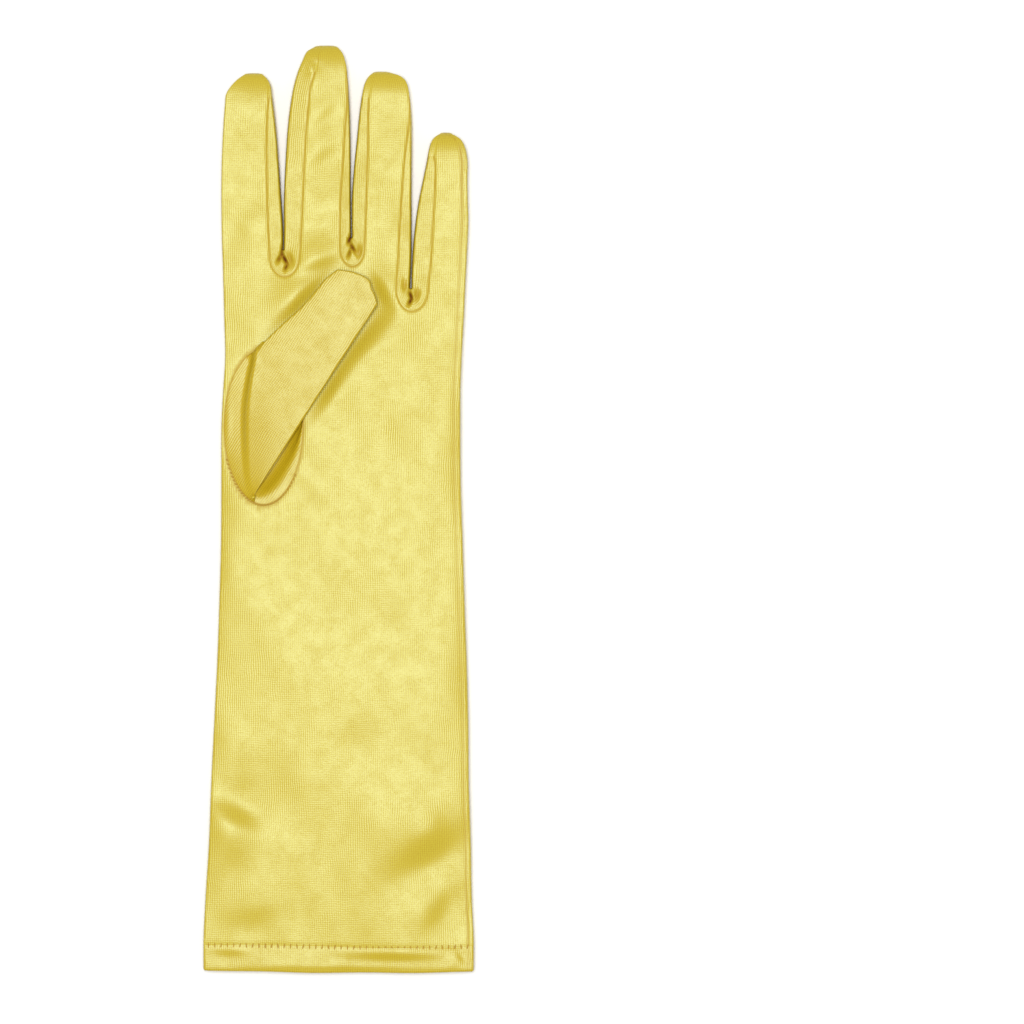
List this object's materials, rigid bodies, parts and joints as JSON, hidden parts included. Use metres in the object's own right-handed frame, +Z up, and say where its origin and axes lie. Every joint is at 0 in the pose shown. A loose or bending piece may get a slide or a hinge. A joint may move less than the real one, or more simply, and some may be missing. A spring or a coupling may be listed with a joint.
{
  "type": "long satin glove",
  "caption": "Long dress glove of stretch satin for the left hand, lying palm up with its thumb folded across the palm, open at the cuff.",
  "frame": {"origin": "on the surface that the glove lies on, under the middle of its plan box", "axes": "+Y from the cuff to the fingertips, +X to the little finger, +Z up out of the palm"},
  "size_m": [0.0998, 0.3422, 0.0177],
  "materials": {
    "satin": "yellow knitted stretch satin, fine lengthwise ribs, soft gloss",
    "satin_side": "the same satin in the finger side strips",
    "satin_hem": "the same satin, turned double and stitched"
  },
  "bodies": {
    "root": {"trank": "satin", "thumb": "satin", "fourchette_index_middle": "satin_side", "fourchette_middle_ring": "satin_side", "fourchette_ring_little": "satin_side", "cuff_hem": "satin_hem"}
  },
  "joints": []
}
